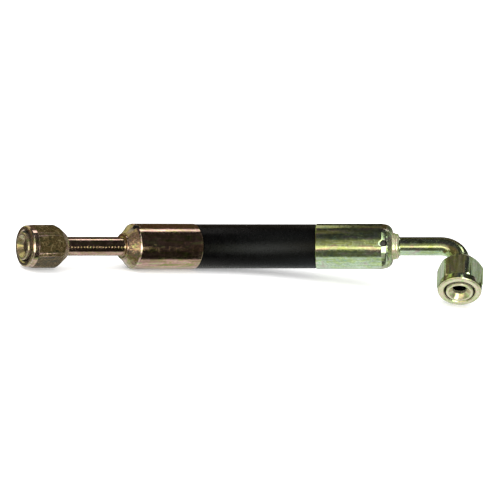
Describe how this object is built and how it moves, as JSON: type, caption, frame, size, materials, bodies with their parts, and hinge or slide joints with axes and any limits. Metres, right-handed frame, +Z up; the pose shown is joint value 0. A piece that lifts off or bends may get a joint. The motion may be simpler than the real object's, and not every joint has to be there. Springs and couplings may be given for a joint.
{
  "type": "hydraulic hose assembly",
  "caption": "Short crimped hydraulic hose with a straight swivel nut end and a 90 degree elbow swivel nut end.",
  "frame": {"origin": "on the surface that the assembly lies on, under the middle of its outline", "axes": "+Z up from that surface; +X along the assembly from the straight end to the elbow end; +Y to the outside of the hose's bend"},
  "size_m": [0.2378, 0.0774, 0.0327],
  "materials": {
    "cover_rubber": "matt extruded rubber with a faint cloth-wrap texture",
    "tube_rubber": "smooth rubber",
    "wire_braid": "brass-coated wire braid",
    "plating_bronze": "zinc plated with a dark yellow iridescent dichromate finish, turned",
    "plating_yellow": "zinc plated with a light yellow-green iridescent dichromate finish, turned"
  },
  "bodies": {
    "left_end": {"left_ferrule": "plating_bronze", "left_stem": "plating_bronze"},
    "hose": {"hose_inner_tube": "tube_rubber", "hose_braid_inner": "wire_braid", "hose_insulation": "tube_rubber", "hose_braid_outer": "wire_braid", "hose_cover": "cover_rubber"},
    "right_end": {"right_ferrule": "plating_yellow", "right_insert": "plating_yellow", "right_insert_braze": "plating_yellow", "right_elbow_tube": "plating_yellow", "right_nose": "plating_yellow", "right_nose_braze": "plating_yellow"},
    "left_nut": {"left_nut": "plating_bronze"},
    "right_nut": {"right_nut": "plating_yellow"}
  },
  "joints": [
    {"name": "hose_flex_left", "type": "hinge", "parent": "left_end", "child": "hose", "pos_m": [-0.01419, 0.02057, 0.0119], "axis": [0.1201, -0.2339, -0.9648], "range_deg": [-36, 4], "stiffness_Nm_per_rad": 6, "deforming": ["hose_inner_tube", "hose_braid_inner", "hose_insulation", "hose_braid_outer", "hose_cover"]},
    {"name": "hose_flex_right", "type": "hinge", "parent": "hose", "child": "right_end", "pos_m": [0.01745, 0.02712, 0.01425], "axis": [0.1201, -0.2339, -0.9648], "range_deg": [-36, 4], "stiffness_Nm_per_rad": 6, "deforming": ["hose_inner_tube", "hose_braid_inner", "hose_insulation", "hose_braid_outer", "hose_cover"]},
    {"name": "left_nut_spin", "type": "hinge", "parent": "left_end", "child": "left_nut", "pos_m": [-0.11443, -0.02962, 0.0116], "axis": [-0.8898, -0.4564, -0.0001], "continuous": true},
    {"name": "right_nut_spin", "type": "hinge", "parent": "right_end", "child": "right_nut", "pos_m": [0.10751, -0.00151, 0.0084], "axis": [0.0316, -0.7922, -0.6095], "continuous": true}
  ]
}
